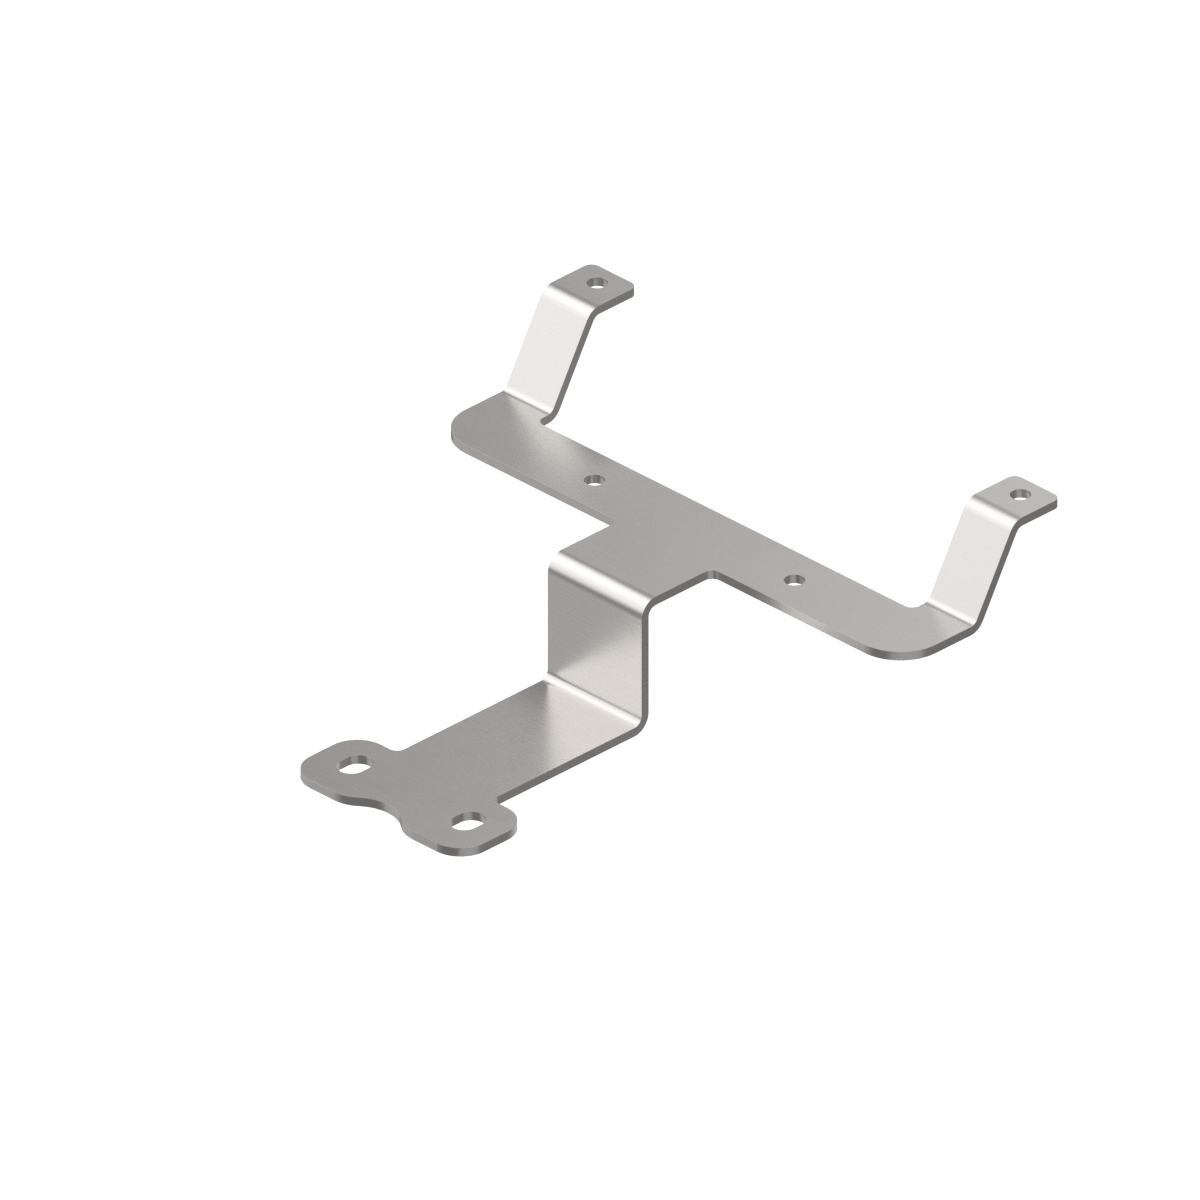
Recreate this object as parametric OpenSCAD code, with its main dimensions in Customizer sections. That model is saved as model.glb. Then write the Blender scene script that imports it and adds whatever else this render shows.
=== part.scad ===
// Wiring harness holder: one bracket, cut from flat sheet and folded on four bend lines.
// A foot with two slots is screwed down, a web lifts the cross bar above it, and two arms
// at the bar's ends rise to small tabs. Harness clips are fixed to the round holes.
//
// X runs along the cross bar, Y from the foot to the tabs, and Z up. The origin is on the
// foot's underside, midway between its two slots. All sizes are in millimetres.

/* [Sheet] */
// Thickness of the sheet
sheet_t = 3; // [2:0.5:4]
// Inside radius of every bend
bend_r = 3; // [2:0.5:5]
// Radius in the inner corners of the outline, where the arms and the stem meet the bar and the foot
fillet_r = 3; // [1:0.5:4]

/* [Foot] */
// Width of the foot across its two ears
foot_w = 74; // [70:1:110]
// Length of the ears, from the front edge back
ear_l = 30; // [26:1:50]
// Radius of the ears' corners
ear_corner_r = 10; // [4:1:12]
// Length of the foot, from its front edge to the front of the web
foot_l = 94; // [60:1:140]

/* [Notch in the foot's front edge] */
// Depth of the notch
notch_depth = 6; // [3:0.5:10]
// Radius of the notch's hollow
notch_r = 14; // [10:1:20]
// Radius that blends the hollow into the front edge
notch_blend_r = 12; // [4:1:16]

/* [Foot slots] */
// Width of each slot, which suits an M8 screw
slot_w = 9; // [5:0.5:11]
// Length of each slot from end to end, along Y
slot_l = 12; // [11.5:0.5:16]
// Distance between the slots' centres
slot_pitch = 48; // [40:1:56]
// Distance from the front edge to the slots' centres
slot_setback = 16; // [13:0.5:20]

/* [Web and stem] */
// Width of the stem, which is the strip that holds the foot, the web and the shelf
stem_w = 40; // [30:1:46]
// Length of the shelf, from the front of the web to the front edge of the bar
shelf_l = 30; // [15:1:60]

/* [Cross bar] */
// Length of the bar from end to end
bar_l = 200; // [180:5:260]
// Depth of the bar, from its front edge to its back edge
bar_d = 25; // [20:1:40]
// Height of the bar's top face above the foot's underside
bar_h = 45; // [35:1:80]
// Radius of the bar's two front corners
bar_corner_r = 15; // [5:1:18]
// Diameter of the bar's holes, which suits an M6 screw
bar_hole_d = 6.5; // [4:0.5:12]
// Distance between the bar's holes
bar_hole_pitch = 85; // [60:1:140]

/* [Arms and tabs] */
// Width of each arm and its tab
arm_w = 20; // [15:1:30]
// Flat length of an arm, from the bar's back edge to its lower bend
arm_flat_l = 5; // [4:0.5:15]
// Angle of the arms above the level of the bar
arm_angle = 60; // [30:5:90]
// Height of the tabs above the bar, from top face to top face
tab_rise = 29.25; // [20:0.25:60]
// Length of a tab, from the sharp corner of its bend to its back edge
tab_l = 20; // [16:0.5:30]
// Radius of a tab's two back corners
tab_corner_r = 3; // [1:0.5:6]
// Diameter of a tab's hole, which suits an M6 screw
tab_hole_d = 6.5; // [4:0.5:8]
// Distance from a tab's back edge to its hole
tab_hole_setback = 7.5; // [6:0.5:9]

/* [Hidden] */
$fn = 96;

// Length by which a piece runs past the edge that trims it or the corner that it joins
overrun = 1;
// The folded section is drawn at this scale and then enlarged, so that the rounding of a turned
// stretch is too small to leave a gap or a step where the stretch meets its bend
draw_scale = 1 / 100;

// Places along Y, from the foot's front edge to the tabs' back edge
foot_front_y = -slot_setback;
ear_back_y = foot_front_y + ear_l;
web_front_y = foot_front_y + foot_l;
bar_front_y = web_front_y + shelf_l;
bar_back_y = bar_front_y + bar_d;
arm_bend_y = bar_back_y + arm_flat_l;
slope_y = tab_rise * cos(arm_angle) / sin(arm_angle);
tab_corner_y = arm_bend_y + bend_r * tan(arm_angle / 2) + slope_y;
tab_back_y = tab_corner_y + tab_l;

// Straight lengths of the folded section, between the ends of its bends
outer_r = bend_r + sheet_t;
foot_flat_l = foot_l - bend_r;
web_flat_l = bar_h - 2 * outer_r;
top_flat_l = shelf_l + bar_d + arm_flat_l - outer_r;
slope_flat_l = tab_rise / sin(arm_angle) - (bend_r + outer_r) * tan(arm_angle / 2);
tab_flat_l = tab_l - outer_r * tan(arm_angle / 2);

// Draws its children on both sides of the middle plane
module both_sides() {
    children();
    mirror([1, 0, 0]) children();
}

// The part of a ring between two angles, which is the section of a bend
module ring_sector(inner, outer, start, turn) {
    reach = 2 * outer;
    intersection() {
        difference() {
            circle(r = outer);
            circle(r = inner);
        }
        polygon([
            [0, 0],
            reach * [cos(start), sin(start)],
            reach * [cos(start + turn / 2), sin(start + turn / 2)],
            reach * [cos(start + turn), sin(start + turn)]
        ]);
    }
}

// A straight stretch of the section. What follows it starts at its far end.
module flat(length) {
    scale(draw_scale) square([length, sheet_t]);
    translate([length * draw_scale, 0]) children();
}

// A bend of the section, up where the angle is positive and down where it is negative.
// What follows it starts at its far end, turned by the same angle.
module bend(angle) {
    up = angle > 0;
    centre_y = (up ? outer_r : -bend_r) * draw_scale;
    translate([0, centre_y]) {
        scale(draw_scale) ring_sector(bend_r, outer_r, up ? -90 : 90, angle);
        rotate(angle) translate([0, -centre_y]) children();
    }
}

// The sheet seen from the side, folded on its four bend lines, with Y to the right.
// Both ends run past the outline, which trims them.
module folded_section() {
    translate([foot_front_y - overrun, 0])
        scale(1 / draw_scale)
        flat(foot_flat_l + overrun)
        bend(90)
        flat(web_flat_l)
        bend(-90)
        flat(top_flat_l)
        bend(arm_angle)
        flat(slope_flat_l)
        bend(-arm_angle)
        flat(tab_flat_l + overrun);
}

// The space between a square corner at the origin and the round that replaces it.
// It rounds off an outer corner when taken away, and fills an inner one when added.
module corner(r) {
    difference() {
        translate([-overrun, -overrun]) square(r + overrun);
        translate([r, r]) circle(r = r);
    }
}

// The two ears with their rounded corners
module foot_outline() {
    difference() {
        translate([-foot_w / 2, foot_front_y]) square([foot_w, ear_l]);
        both_sides() {
            translate([-foot_w / 2, foot_front_y]) corner(ear_corner_r);
            translate([-foot_w / 2, ear_back_y]) mirror([0, 1, 0]) corner(ear_corner_r);
        }
    }
}

// The straight strip from the ears to the bar, with a fillet in each inner corner
module stem_outline() {
    translate([-stem_w / 2, ear_back_y - overrun])
        square([stem_w, bar_front_y - ear_back_y + 2 * overrun]);
    both_sides() {
        translate([stem_w / 2, ear_back_y]) corner(fillet_r);
        translate([stem_w / 2, bar_front_y]) mirror([0, 1, 0]) corner(fillet_r);
    }
}

// The cross bar with its rounded front corners
module bar_outline() {
    difference() {
        translate([-bar_l / 2, bar_front_y]) square([bar_l, bar_d]);
        both_sides() translate([-bar_l / 2, bar_front_y]) corner(bar_corner_r);
    }
}

// The arm and the tab at the bar's left end, seen from above, with a fillet where they leave the bar
module arm_outline() {
    translate([-bar_l / 2, tab_back_y]) mirror([0, 1, 0])
        difference() {
            square([arm_w, tab_back_y - bar_back_y + overrun]);
            corner(tab_corner_r);
            translate([arm_w, 0]) mirror([1, 0, 0]) corner(tab_corner_r);
        }
    translate([-bar_l / 2 + arm_w, bar_back_y]) corner(fillet_r);
}

// A hollow in the foot's front edge, with its two sides blended into the edge. The line between
// the centres of the hollow and of a blend passes through the point where their arcs meet.
module notch() {
    hollow_y = foot_front_y + notch_depth - notch_r;
    blend_y = foot_front_y + notch_blend_r;
    blend_x = sqrt(pow(notch_r + notch_blend_r, 2) - pow(blend_y - hollow_y, 2));
    below_y = foot_front_y - notch_r;
    translate([0, hollow_y]) circle(r = notch_r);
    both_sides()
        difference() {
            polygon([[0, hollow_y], [0, below_y], [blend_x, below_y], [blend_x, blend_y]]);
            translate([blend_x, blend_y]) circle(r = notch_blend_r);
        }
}

// A slot along Y, centred on the origin
module slot(width, length) {
    straight_l = length - width;
    square([width, straight_l], center = true);
    for (end = [-1, 1])
        translate([0, end * straight_l / 2]) circle(d = width);
}

// Everything that is cut through the sheet inside its outline
module openings() {
    both_sides() {
        translate([slot_pitch / 2, 0]) slot(slot_w, slot_l);
        translate([bar_hole_pitch / 2, bar_front_y + bar_d / 2]) circle(d = bar_hole_d);
        translate([(bar_l - arm_w) / 2, tab_back_y - tab_hole_setback]) circle(d = tab_hole_d);
    }
}

// The bracket's outline seen from above, with its notch, slots and holes
module outline() {
    difference() {
        union() {
            foot_outline();
            stem_outline();
            bar_outline();
            both_sides() arm_outline();
        }
        notch();
        openings();
    }
}

// The folded sheet, trimmed to the outline. Every hole lies in a level stretch,
// so the straight cut from above is square to the sheet there.
module bracket() {
    color([0.72, 0.71, 0.69])
        intersection() {
            rotate([90, 0, 90])
                linear_extrude(height = bar_l + 2 * overrun, center = true) folded_section();
            translate([0, 0, -overrun])
                linear_extrude(height = bar_h + tab_rise + 2 * overrun) outline();
        }
}

bracket();
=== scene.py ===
"""Looks of the wiring harness holder: one folded sheet of satin stainless steel in a plain studio.

Everything is in metres, in the part's own frame. X runs along the cross bar, Y from the foot
to the tabs, and Z up, with the origin on the foot's underside between its slots.
"""

import math

import bpy
from mathutils import Matrix, Vector

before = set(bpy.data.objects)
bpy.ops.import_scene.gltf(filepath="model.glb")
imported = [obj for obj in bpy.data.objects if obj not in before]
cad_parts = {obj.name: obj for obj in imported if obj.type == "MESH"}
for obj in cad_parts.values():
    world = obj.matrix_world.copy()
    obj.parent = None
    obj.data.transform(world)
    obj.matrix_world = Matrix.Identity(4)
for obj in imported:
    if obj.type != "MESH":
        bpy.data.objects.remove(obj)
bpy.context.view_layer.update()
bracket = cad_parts["bracket"]
scene = bpy.context.scene

MM = 0.001

# The photograph is a parallel view, 45 degrees round to the right and 30 degrees down
VIEW_AZIMUTH = 45
VIEW_ELEVATION = 30
PHOTO_WIDTH_PX = 1200
PHOTO_PX_PER_MM = 3.3254
# The point of the part's frame that lies at the photograph's centre
VIEW_CENTRE = Vector((-7.99, 88.27, 30.61)) * MM
CAMERA_DISTANCE = 1.0

# The middle of the part, which every lamp faces
MIDDLE = Vector((0, 85, 35)) * MM

FLOOR_Z = -0.45
FLOOR_SIZE = 60.0
FLOOR_ALBEDO = 0.9
# What the floor's own light adds to the lamps' light on it, to make it the photograph's white
FLOOR_GLOW = 0.65

# The grey of the studio round the lamps
WORLD_LEVEL = 0.25

# The glowing grey bowl round the part's lower half, a painted reflection that only the steel sees, which
# stands between the steel and the bright floor
BOWL_RADIUS = 0.47
BOWL_RIM_ELEVATION = 1.0
# It glows at its own level up to the first of these elevations, in degrees, and at the world's
# level from the second one up to its rim
BOWL_LEVEL = 0.163
BOWL_DARK_BELOW = -13.5
BOWL_LIGHT_ABOVE = -9.0
BOWL_RINGS = 24
BOWL_STEPS = 64

STEEL_COLOUR = (0.832, 0.808, 0.786)
STEEL_ROUGHNESS = 0.275

# The patterns in the steel, in cycles for each metre. The rolling grain runs along X, so that it
# lies the same way on every fold, and the hairlines lie in it, closer than the photograph can show.
GRAIN_ALONG = 45
GRAIN_ACROSS = 2200
HAIRS_ALONG = 160
HAIRS_ACROSS = 9000
CLOUDS = 40
SPECKS = 900
CUT_LINES = 2600
# How far each pattern moves the rolled faces' tone, as a share of it, and their roughness
GRAIN_TONE_REACH = 0.008
HAIR_TONE_REACH = 0.015
CLOUD_TONE_REACH = 0.01
GRAIN_ROUGHNESS_REACH = 0.012
HAIR_ROUGHNESS_REACH = 0.01
CLOUD_ROUGHNESS_REACH = 0.01
# The cut faces' middle tone and roughness, and how far the cutting lines move them
CUT_TONE = 0.985
CUT_TONE_REACH = 0.02
CUT_ROUGHNESS = 0.29
CUT_ROUGHNESS_REACH = 0.03
# Heights of the finest relief
GRAIN_DEPTH = 0.00018 * MM
HAIR_DEPTH = 0.00005 * MM
CUT_DEPTH = 0.0015 * MM
# The detail of every noise pattern, and the range that nearly all of its values lie in
NOISE_DETAIL = 3.0
NOISE_ROUGHNESS = 0.6
NOISE_LOW = 0.3
NOISE_HIGH = 0.7

# How far from an edge the polish of handling reaches, and what it adds to tone and roughness
WEAR_REACH = 0.3 * MM
WEAR_TONE = 0.04
WEAR_ROUGHNESS = -0.05
# The polish starts and is full where the product of the surface's normal and the one that is
# rounded over that reach has fallen to these values
WEAR_STARTS = 0.98
WEAR_FULL = 0.72
WEAR_SAMPLES = 6
# The share of the polish that is left where it is thinnest, and the specks' range that thins it
WEAR_LEAST = 0.3
SPECK_LOW = 0.35
SPECK_HIGH = 0.65

# The planes along Y between which the web and its two bends lie
WEB_FRONT = 74.9 * MM
WEB_BACK = 84.1 * MM
# A face stands upright where its normal's Z is under the first limit, which leaves out the slopes
# of the arms, and an upright face of the web is a rolled one where its X is under the second
UPRIGHT_LIMIT = 0.3
SIDEWAYS_LIMIT = 0.5

# Points of neighbouring faces that lie closer than this are joined
WELD_DISTANCE = 0.001 * MM
# By how much the sharp edges are broken, and the angle in degrees from which an edge is sharp
EDGE_BREAK = 0.12 * MM
EDGE_SEGMENTS = 2
SHARP_ANGLE = 40


def direction(azimuth, elevation):
    """The way to a point seen at these angles in degrees. Azimuth 0 is -Y and 90 is +X."""
    turn = math.radians(azimuth)
    rise = math.radians(elevation)
    return Vector((math.sin(turn) * math.cos(rise), -math.cos(turn) * math.cos(rise), math.sin(rise)))


def facing(location, target):
    """A matrix that puts an object at location with its -Z axis towards target."""
    turn = (target - location).to_track_quat("-Z", "Y")
    return Matrix.Translation(location) @ turn.to_matrix().to_4x4()


def add_node(tree, kind, inputs, **settings):
    """A new node. Each input is either a fixed value or the output of another node."""
    node = tree.nodes.new(kind)
    for name, value in settings.items():
        setattr(node, name, value)
    for key, value in inputs.items():
        if isinstance(value, bpy.types.NodeSocket):
            tree.links.new(value, node.inputs[key])
        else:
            node.inputs[key].default_value = value
    return node


def math_of(tree, operation, *values):
    return add_node(tree, "ShaderNodeMath", dict(enumerate(values)), operation=operation).outputs[0]


def mixed(tree, factor, first, second):
    return add_node(tree, "ShaderNodeMix", {"Factor": factor, "A": first, "B": second}).outputs[0]


def spread(tree, value, low, high, from_low, from_high):
    """Takes a value from one range to another, and keeps it inside."""
    inputs = {"Value": value, "From Min": from_low, "From Max": from_high, "To Min": low, "To Max": high}
    return add_node(tree, "ShaderNodeMapRange", inputs).outputs[0]


def noise(tree, place, per_metre):
    """Noise whose scale along X, Y and Z is given in cycles for each metre."""
    mapping = add_node(tree, "ShaderNodeMapping", {"Vector": place, "Scale": per_metre})
    return add_node(tree, "ShaderNodeTexNoise", {
        "Vector": mapping.outputs[0],
        "Scale": 1.0,
        "Detail": NOISE_DETAIL,
        "Roughness": NOISE_ROUGHNESS,
    }).outputs[0]


def varied(tree, pattern, middle, reach):
    """A value that a noise pattern moves by up to reach on both sides of its middle."""
    return spread(tree, pattern, middle - reach, middle + reach, NOISE_LOW, NOISE_HIGH)


def empty_material(name):
    material = bpy.data.materials.new(name)
    material.use_nodes = True
    material.node_tree.nodes.clear()
    return material


def make_camera():
    data = bpy.data.cameras.new("camera")
    data.type = "ORTHO"
    data.ortho_scale = PHOTO_WIDTH_PX / PHOTO_PX_PER_MM * MM
    camera = bpy.data.objects.new("camera", data)
    scene.collection.objects.link(camera)
    back = direction(VIEW_AZIMUTH, VIEW_ELEVATION)
    camera.matrix_world = facing(VIEW_CENTRE + back * CAMERA_DISTANCE, VIEW_CENTRE)
    scene.camera = camera


def fade_lamp(data, matrix, radii, fade):
    """Dims a lamp smoothly towards its edge, over this share of the way from its middle."""
    data.use_nodes = True
    tree = data.node_tree
    tree.nodes.clear()
    place = add_node(tree, "ShaderNodeNewGeometry", {})
    own = add_node(tree, "ShaderNodeMapping", {
        "Vector": place.outputs["Position"],
        "Location": matrix.translation,
        "Rotation": matrix.to_euler(),
        "Scale": (*radii, 1),
    }, vector_type="TEXTURE")
    away = add_node(tree, "ShaderNodeVectorMath", {0: own.outputs[0]}, operation="LENGTH")
    reach = {"Value": away.outputs["Value"], "From Min": 1, "From Max": 1 - fade}
    shade = add_node(tree, "ShaderNodeMapRange", reach, interpolation_type="SMOOTHSTEP")
    glow = add_node(tree, "ShaderNodeEmission", {"Strength": shade.outputs[0]})
    add_node(tree, "ShaderNodeOutputLight", {"Surface": glow.outputs[0]})


def add_lamp(name, azimuth, elevation, wide, high, roll, fade, distance, radiance):
    """An oval soft lamp that faces the part, which sees it reach wide and high degrees from its middle."""
    centre = MIDDLE + direction(azimuth, elevation) * distance
    matrix = facing(centre, MIDDLE) @ Matrix.Rotation(math.radians(roll), 4, "Z")
    radii = [distance * math.tan(math.radians(half)) for half in (wide, high)]
    data = bpy.data.lights.new(name, "AREA")
    data.shape = "ELLIPSE"
    data.size = 2 * radii[0]
    data.size_y = 2 * radii[1]
    area = math.pi * radii[0] * radii[1]
    data.energy = radiance * math.pi * area
    fade_lamp(data, matrix, radii, fade)
    lamp = bpy.data.objects.new(name, data)
    scene.collection.objects.link(lamp)
    lamp.matrix_world = matrix


def make_lamps():
    """Three large lamps above the part, and three small ones close to it, lower than its middle."""
    add_lamp("key", -62.8, 32.9, wide=41.2, high=46.3, roll=41,
             fade=0.57, distance=1.6, radiance=0.872)
    add_lamp("overhead", 20.6, 74.1, wide=62, high=45.1, roll=-27,
             fade=0.17, distance=1.35, radiance=0.179)
    add_lamp("back", 161, 31.1, wide=55.3, high=57.7, roll=24,
             fade=0.12, distance=1.26, radiance=0.458)
    add_lamp("low_left", -65.4, -28, wide=38.4, high=18.4, roll=-16,
             fade=0.08, distance=0.38, radiance=0.277)
    add_lamp("low_right", 69, -11.1, wide=35.3, high=43.1, roll=-40,
             fade=0.24, distance=0.38, radiance=0.216)
    add_lamp("low_back", 177.3, -51, wide=32.3, high=42.6, roll=-56,
             fade=0.75, distance=0.38, radiance=0.408)


def make_world():
    world = bpy.data.worlds.new("studio")
    scene.world = world
    world.use_nodes = True
    background = world.node_tree.nodes["Background"]
    background.inputs["Color"].default_value = (1, 1, 1, 1)
    background.inputs["Strength"].default_value = WORLD_LEVEL


def floor_material():
    """Pale, with the photograph's white for the camera and in mirrors and glass."""
    material = empty_material("pale_floor")
    tree = material.node_tree
    pale = (FLOOR_ALBEDO, FLOOR_ALBEDO, FLOOR_ALBEDO, 1)
    diffuse = add_node(tree, "ShaderNodeBsdfDiffuse", {"Color": pale})
    path = add_node(tree, "ShaderNodeLightPath", {})
    seen = math_of(tree, "MAXIMUM", path.outputs["Is Camera Ray"], path.outputs["Is Glossy Ray"])
    seen = math_of(tree, "MAXIMUM", seen, path.outputs["Is Transmission Ray"])
    strength = math_of(tree, "MULTIPLY", seen, FLOOR_GLOW)
    glow = add_node(tree, "ShaderNodeEmission", {"Strength": strength})
    both = add_node(tree, "ShaderNodeAddShader", {0: diffuse.outputs[0], 1: glow.outputs[0]})
    add_node(tree, "ShaderNodeOutputMaterial", {"Surface": both.outputs[0]})
    return material


def make_floor():
    bpy.ops.mesh.primitive_plane_add(size=FLOOR_SIZE, location=(0, 0, FLOOR_Z))
    floor = bpy.context.object
    floor.name = "floor"
    floor.data.materials.append(floor_material())


def bowl_height(elevation):
    """The height of the bowl's wall at this elevation, from the level of its centre."""
    return BOWL_RADIUS * math.sin(math.radians(elevation))


def bowl_material():
    material = empty_material("painted_reflection_glow")
    tree = material.node_tree
    place = add_node(tree, "ShaderNodeTexCoord", {}).outputs["Object"]
    height = add_node(tree, "ShaderNodeSeparateXYZ", {0: place}).outputs["Z"]
    dark_top = bowl_height(BOWL_DARK_BELOW)
    light_bottom = bowl_height(BOWL_LIGHT_ABOVE)
    level = spread(tree, height, BOWL_LEVEL, WORLD_LEVEL, dark_top, light_bottom)
    # Painted reflection: the bowl glows grey, darker towards its bottom, and only the steel mirrors it
    glow = add_node(tree, "ShaderNodeEmission", {"Strength": level})
    add_node(tree, "ShaderNodeOutputMaterial", {"Surface": glow.outputs[0]})
    return material


def make_bowl():
    """A glowing bowl round the part's lower half, seen only in the steel: a painted reflection that stands
    in for a photographer's grey cards.
    """
    points = []
    for ring in range(BOWL_RINGS):
        elevation = -90 + (BOWL_RIM_ELEVATION + 90) * (ring + 1) / BOWL_RINGS
        for step in range(BOWL_STEPS):
            points.append(direction(360 * step / BOWL_STEPS, elevation) * BOWL_RADIUS)
    faces = [tuple(range(BOWL_STEPS))]
    for ring in range(BOWL_RINGS - 1):
        low = ring * BOWL_STEPS
        high = low + BOWL_STEPS
        for step in range(BOWL_STEPS):
            after = (step + 1) % BOWL_STEPS
            faces.append((low + step, low + after, high + after, high + step))
    mesh = bpy.data.meshes.new("bowl")
    mesh.from_pydata(points, [], faces)
    mesh.materials.append(bowl_material())
    bowl = bpy.data.objects.new("bowl", mesh)
    bowl.location = MIDDLE
    scene.collection.objects.link(bowl)
    bowl.visible_camera = False
    bowl.visible_diffuse = False
    bowl.visible_transmission = False
    bowl.visible_shadow = False


def in_web(tree, place):
    """1 between the planes that hold the web and its two bends, and 0 outside them."""
    y = add_node(tree, "ShaderNodeSeparateXYZ", {0: place}).outputs["Y"]
    return math_of(tree, "COMPARE", y, (WEB_FRONT + WEB_BACK) / 2, (WEB_BACK - WEB_FRONT) / 2)


def cut_faces(tree, place, normal):
    """1 on the faces that the cutting left through the sheet, and 0 on its two rolled faces.

    Every cut face stands upright. So does the web, which is known by its place and by facing along Y.
    """
    normal_xyz = add_node(tree, "ShaderNodeSeparateXYZ", {0: normal})
    rise = math_of(tree, "ABSOLUTE", normal_xyz.outputs["Z"])
    upright = math_of(tree, "LESS_THAN", rise, UPRIGHT_LIMIT)
    sideways = math_of(tree, "ABSOLUTE", normal_xyz.outputs["X"])
    faces_y = math_of(tree, "LESS_THAN", sideways, SIDEWAYS_LIMIT)
    rolled = math_of(tree, "MULTIPLY", in_web(tree, place), faces_y)
    return math_of(tree, "MULTIPLY", upright, math_of(tree, "SUBTRACT", 1, rolled))


def cut_lines(tree, place):
    """Fine lines through the sheet's thickness, which are upright, but lie along Y in the web."""
    x, y, z = add_node(tree, "ShaderNodeSeparateXYZ", {0: place}).outputs
    along = mixed(tree, in_web(tree, place), y, z)
    edge = add_node(tree, "ShaderNodeCombineXYZ", {"X": x, "Y": along}).outputs[0]
    return noise(tree, edge, (CUT_LINES, CUT_LINES, 1))


def worn_edges(tree, place, normal):
    """1 along the sheet's edges, where handling has polished them unevenly, and 0 elsewhere."""
    rounded = add_node(tree, "ShaderNodeBevel", {"Radius": WEAR_REACH}, samples=WEAR_SAMPLES).outputs[0]
    same = add_node(tree, "ShaderNodeVectorMath", {0: rounded, 1: normal}, operation="DOT_PRODUCT")
    edge = spread(tree, same.outputs["Value"], 1, 0, WEAR_FULL, WEAR_STARTS)
    specks = noise(tree, place, (SPECKS, SPECKS, SPECKS))
    return math_of(tree, "MULTIPLY", edge, spread(tree, specks, WEAR_LEAST, 1, SPECK_LOW, SPECK_HIGH))


def steel_material():
    """Cold-rolled stainless sheet with a satin finish, cut edges and lightly polished corners."""
    material = empty_material("satin_steel")
    tree = material.node_tree
    place = add_node(tree, "ShaderNodeTexCoord", {}).outputs["Object"]
    geometry = add_node(tree, "ShaderNodeNewGeometry", {})
    grain = noise(tree, place, (GRAIN_ALONG, GRAIN_ACROSS, GRAIN_ACROSS))
    hairs = noise(tree, place, (HAIRS_ALONG, HAIRS_ACROSS, HAIRS_ACROSS))
    clouds = noise(tree, place, (CLOUDS, CLOUDS, CLOUDS))
    lines = cut_lines(tree, place)
    cut = cut_faces(tree, place, geometry.outputs["True Normal"])
    wear = worn_edges(tree, place, geometry.outputs["Normal"])

    rolled_tone = varied(tree, grain, 1, GRAIN_TONE_REACH)
    rolled_tone = math_of(tree, "MULTIPLY", rolled_tone, varied(tree, clouds, 1, CLOUD_TONE_REACH))
    rolled_tone = math_of(tree, "MULTIPLY", rolled_tone, varied(tree, hairs, 1, HAIR_TONE_REACH))
    tone = mixed(tree, cut, rolled_tone, varied(tree, lines, CUT_TONE, CUT_TONE_REACH))
    tone = math_of(tree, "MULTIPLY_ADD", wear, WEAR_TONE, tone)
    colour = add_node(tree, "ShaderNodeVectorMath", {0: STEEL_COLOUR, "Scale": tone}, operation="SCALE")

    rolled_rough = varied(tree, grain, STEEL_ROUGHNESS, GRAIN_ROUGHNESS_REACH)
    rolled_rough = math_of(tree, "ADD", rolled_rough, varied(tree, clouds, 0, CLOUD_ROUGHNESS_REACH))
    rolled_rough = math_of(tree, "ADD", rolled_rough, varied(tree, hairs, 0, HAIR_ROUGHNESS_REACH))
    rough = mixed(tree, cut, rolled_rough, varied(tree, lines, CUT_ROUGHNESS, CUT_ROUGHNESS_REACH))
    rough = math_of(tree, "MULTIPLY_ADD", wear, WEAR_ROUGHNESS, rough)

    hair_height = math_of(tree, "MULTIPLY", hairs, HAIR_DEPTH)
    rolled_height = math_of(tree, "MULTIPLY_ADD", grain, GRAIN_DEPTH, hair_height)
    height = mixed(tree, cut, rolled_height, math_of(tree, "MULTIPLY", lines, CUT_DEPTH))
    # The heights are in metres, and the bump takes them as they are
    bump = add_node(tree, "ShaderNodeBump", {"Height": height, "Strength": 1.0, "Distance": 1.0})

    shader = add_node(tree, "ShaderNodeBsdfPrincipled", {
        "Base Color": colour.outputs[0],
        "Metallic": 1.0,
        "Roughness": rough,
        "Normal": bump.outputs[0],
    })
    add_node(tree, "ShaderNodeOutputMaterial", {"Surface": shader.outputs[0]})
    return material


def finish_bracket():
    """Joins the bracket's faces, breaks its sharp edges and gives it its steel."""
    weld = bracket.modifiers.new("joined_faces", "WELD")
    weld.merge_threshold = WELD_DISTANCE
    bevel = bracket.modifiers.new("broken_edges", "BEVEL")
    bevel.width = EDGE_BREAK
    bevel.segments = EDGE_SEGMENTS
    bevel.limit_method = "ANGLE"
    bevel.angle_limit = math.radians(SHARP_ANGLE)
    normals = bracket.modifiers.new("flat_faces", "WEIGHTED_NORMAL")
    normals.keep_sharp = True
    bracket.material_slots[0].material = steel_material()


make_camera()
make_lamps()
make_world()
make_floor()
make_bowl()
finish_bracket()

scene.view_settings.view_transform = "Standard"
